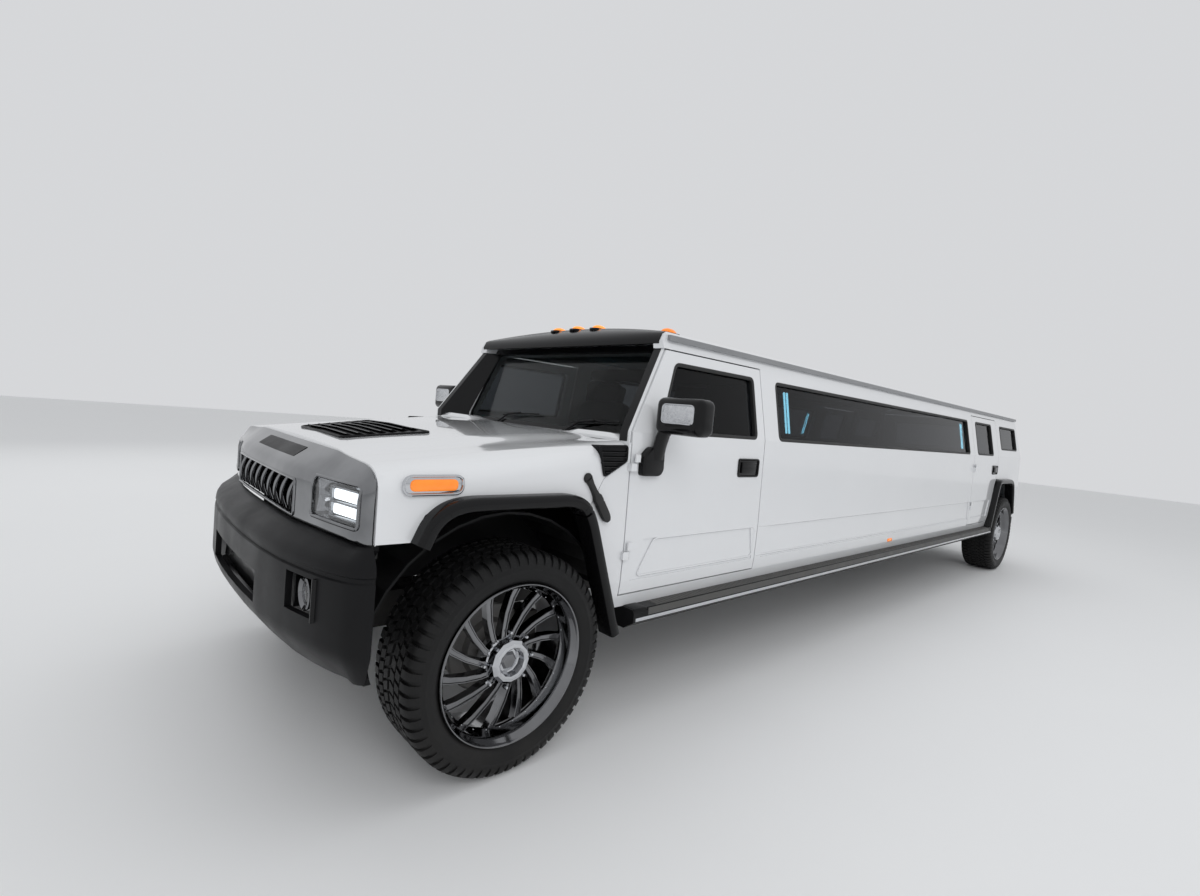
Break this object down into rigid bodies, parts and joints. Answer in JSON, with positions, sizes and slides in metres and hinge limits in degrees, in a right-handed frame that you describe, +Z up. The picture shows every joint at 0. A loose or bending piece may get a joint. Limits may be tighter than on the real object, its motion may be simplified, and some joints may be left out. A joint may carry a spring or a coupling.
{
  "type": "stretch limousine",
  "caption": "Long-wheelbase luxury off-road limousine with opening doors, forward-tilting hood, tailgate, steered front wheels and a lounge cabin.",
  "frame": {"origin": "on the ground, in the middle of the bounding box's length and width", "axes": "+X forward along the vehicle, +Y to its left, +Z up"},
  "size_m": [8.81, 2.524, 1.999],
  "materials": {
    "white_paint": "gloss",
    "black_plastic": "satin",
    "black_steel": "satin",
    "chrome": "polished",
    "dark_chrome": "polished",
    "tyre": "matte",
    "dark_glass": "polished",
    "lamp_glass": "polished",
    "amber_lens": "gloss",
    "red_lens": "gloss",
    "grey_trim": "satin",
    "grey_metal": "satin",
    "black_leather": "satin",
    "dark_wood": "gloss",
    "rubber": "matte"
  },
  "bodies": {
    "root": {"side_wall_left": "white_paint", "side_wall_right": "white_paint", "side_glass": "dark_glass", "roof_panel": "white_paint", "drip_rails": "grey_trim", "roof_lamps": "amber_lens", "windscreen_frame": "white_paint", "windscreen": "dark_glass", "cowl": "black_plastic", "floor_pan": "black_steel", "arch_liners": "black_plastic", "chassis_frame": "black_steel", "tow_receiver": "black_steel", "engine_block": "grey_metal", "drive_line": "grey_metal", "body_flares": "black_plastic", "grille_surround": "chrome", "grille_bars": "chrome", "headlamps": "lamp_glass", "front_bumper": "black_plastic", "fog_lamps": "lamp_glass", "rear_frame": "white_paint", "rear_bumper": "black_plastic", "tail_lamps": "red_lens", "step_boards": "grey_trim", "front_suspension": "black_steel", "rear_axle": "black_steel", "dashboard": "black_plastic", "front_seats": "black_leather", "partition": "black_leather", "lounge_bench": "black_leather", "bar_counter": "dark_wood"},
    "hood": {"hood_shell": "white_paint", "hood_vents": "black_plastic", "hood_flares": "black_plastic", "marker_lamps": "amber_lens", "hood_latches": "rubber"},
    "front_door_left": {"front_door_left": "white_paint", "front_door_glass_left": "dark_glass", "mirror_left": "black_plastic"},
    "rear_door_left": {"rear_door_left": "white_paint", "rear_door_glass_left": "dark_glass"},
    "front_door_right": {"front_door_right": "white_paint", "front_door_glass_right": "dark_glass", "mirror_right": "black_plastic"},
    "rear_door_right": {"rear_door_right": "white_paint", "rear_door_glass_right": "dark_glass"},
    "tailgate": {"tailgate": "white_paint", "tailgate_glass": "dark_glass"},
    "knuckle_left": {"knuckle_left": "black_steel"},
    "knuckle_right": {"knuckle_right": "black_steel"},
    "wheel_front_left": {"tyre_front_left": "tyre", "rim_front_left": "dark_chrome"},
    "wheel_front_right": {"tyre_front_right": "tyre", "rim_front_right": "dark_chrome"},
    "wheel_rear_left": {"tyre_rear_left": "tyre", "rim_rear_left": "dark_chrome"},
    "wheel_rear_right": {"tyre_rear_right": "tyre", "rim_rear_right": "dark_chrome"}
  },
  "joints": [
    {"name": "hood_hinge", "type": "hinge", "parent": "root", "child": "hood", "pos_m": [4.171, 0, 1.25], "axis": [0, 1, 0], "range_deg": [0, 50]},
    {"name": "tailgate_hinge", "type": "hinge", "parent": "root", "child": "tailgate", "pos_m": [-4.279, 0, 1.854], "axis": [0, 1, 0], "range_deg": [0, 80]},
    {"name": "front_door_left_hinge", "type": "hinge", "parent": "root", "child": "front_door_left", "pos_m": [2.989, 0.98, 0.9], "axis": [0, 0, -1], "range_deg": [0, 65]},
    {"name": "rear_door_left_hinge", "type": "hinge", "parent": "root", "child": "rear_door_left", "pos_m": [-2.351, 0.98, 0.9], "axis": [0, 0, -1], "range_deg": [0, 65]},
    {"name": "steer_left", "type": "hinge", "parent": "root", "child": "knuckle_left", "pos_m": [3.605, 0.7, 0.45], "axis": [0, 0, 1], "range_deg": [-30, 30]},
    {"name": "front_door_right_hinge", "type": "hinge", "parent": "root", "child": "front_door_right", "pos_m": [2.989, -0.98, 0.9], "axis": [0, 0, 1], "range_deg": [0, 65]},
    {"name": "rear_door_right_hinge", "type": "hinge", "parent": "root", "child": "rear_door_right", "pos_m": [-2.351, -0.98, 0.9], "axis": [0, 0, 1], "range_deg": [0, 65]},
    {"name": "steer_right", "type": "hinge", "parent": "root", "child": "knuckle_right", "pos_m": [3.605, -0.7, 0.45], "axis": [0, 0, 1], "range_deg": [-30, 30]},
    {"name": "spin_front_left", "type": "hinge", "parent": "knuckle_left", "child": "wheel_front_left", "pos_m": [3.605, 0.87, 0.45], "axis": [0, 1, 0], "continuous": true},
    {"name": "spin_front_right", "type": "hinge", "parent": "knuckle_right", "child": "wheel_front_right", "pos_m": [3.605, -0.87, 0.45], "axis": [0, 1, 0], "continuous": true},
    {"name": "spin_rear_left", "type": "hinge", "parent": "root", "child": "wheel_rear_left", "pos_m": [-3.575, 0.87, 0.45], "axis": [0, 1, 0], "continuous": true},
    {"name": "spin_rear_right", "type": "hinge", "parent": "root", "child": "wheel_rear_right", "pos_m": [-3.575, -0.87, 0.45], "axis": [0, 1, 0], "continuous": true}
  ],
  "couplings": [
    {"joint": "steer_right", "follows": "steer_left", "ratio": 1}
  ]
}
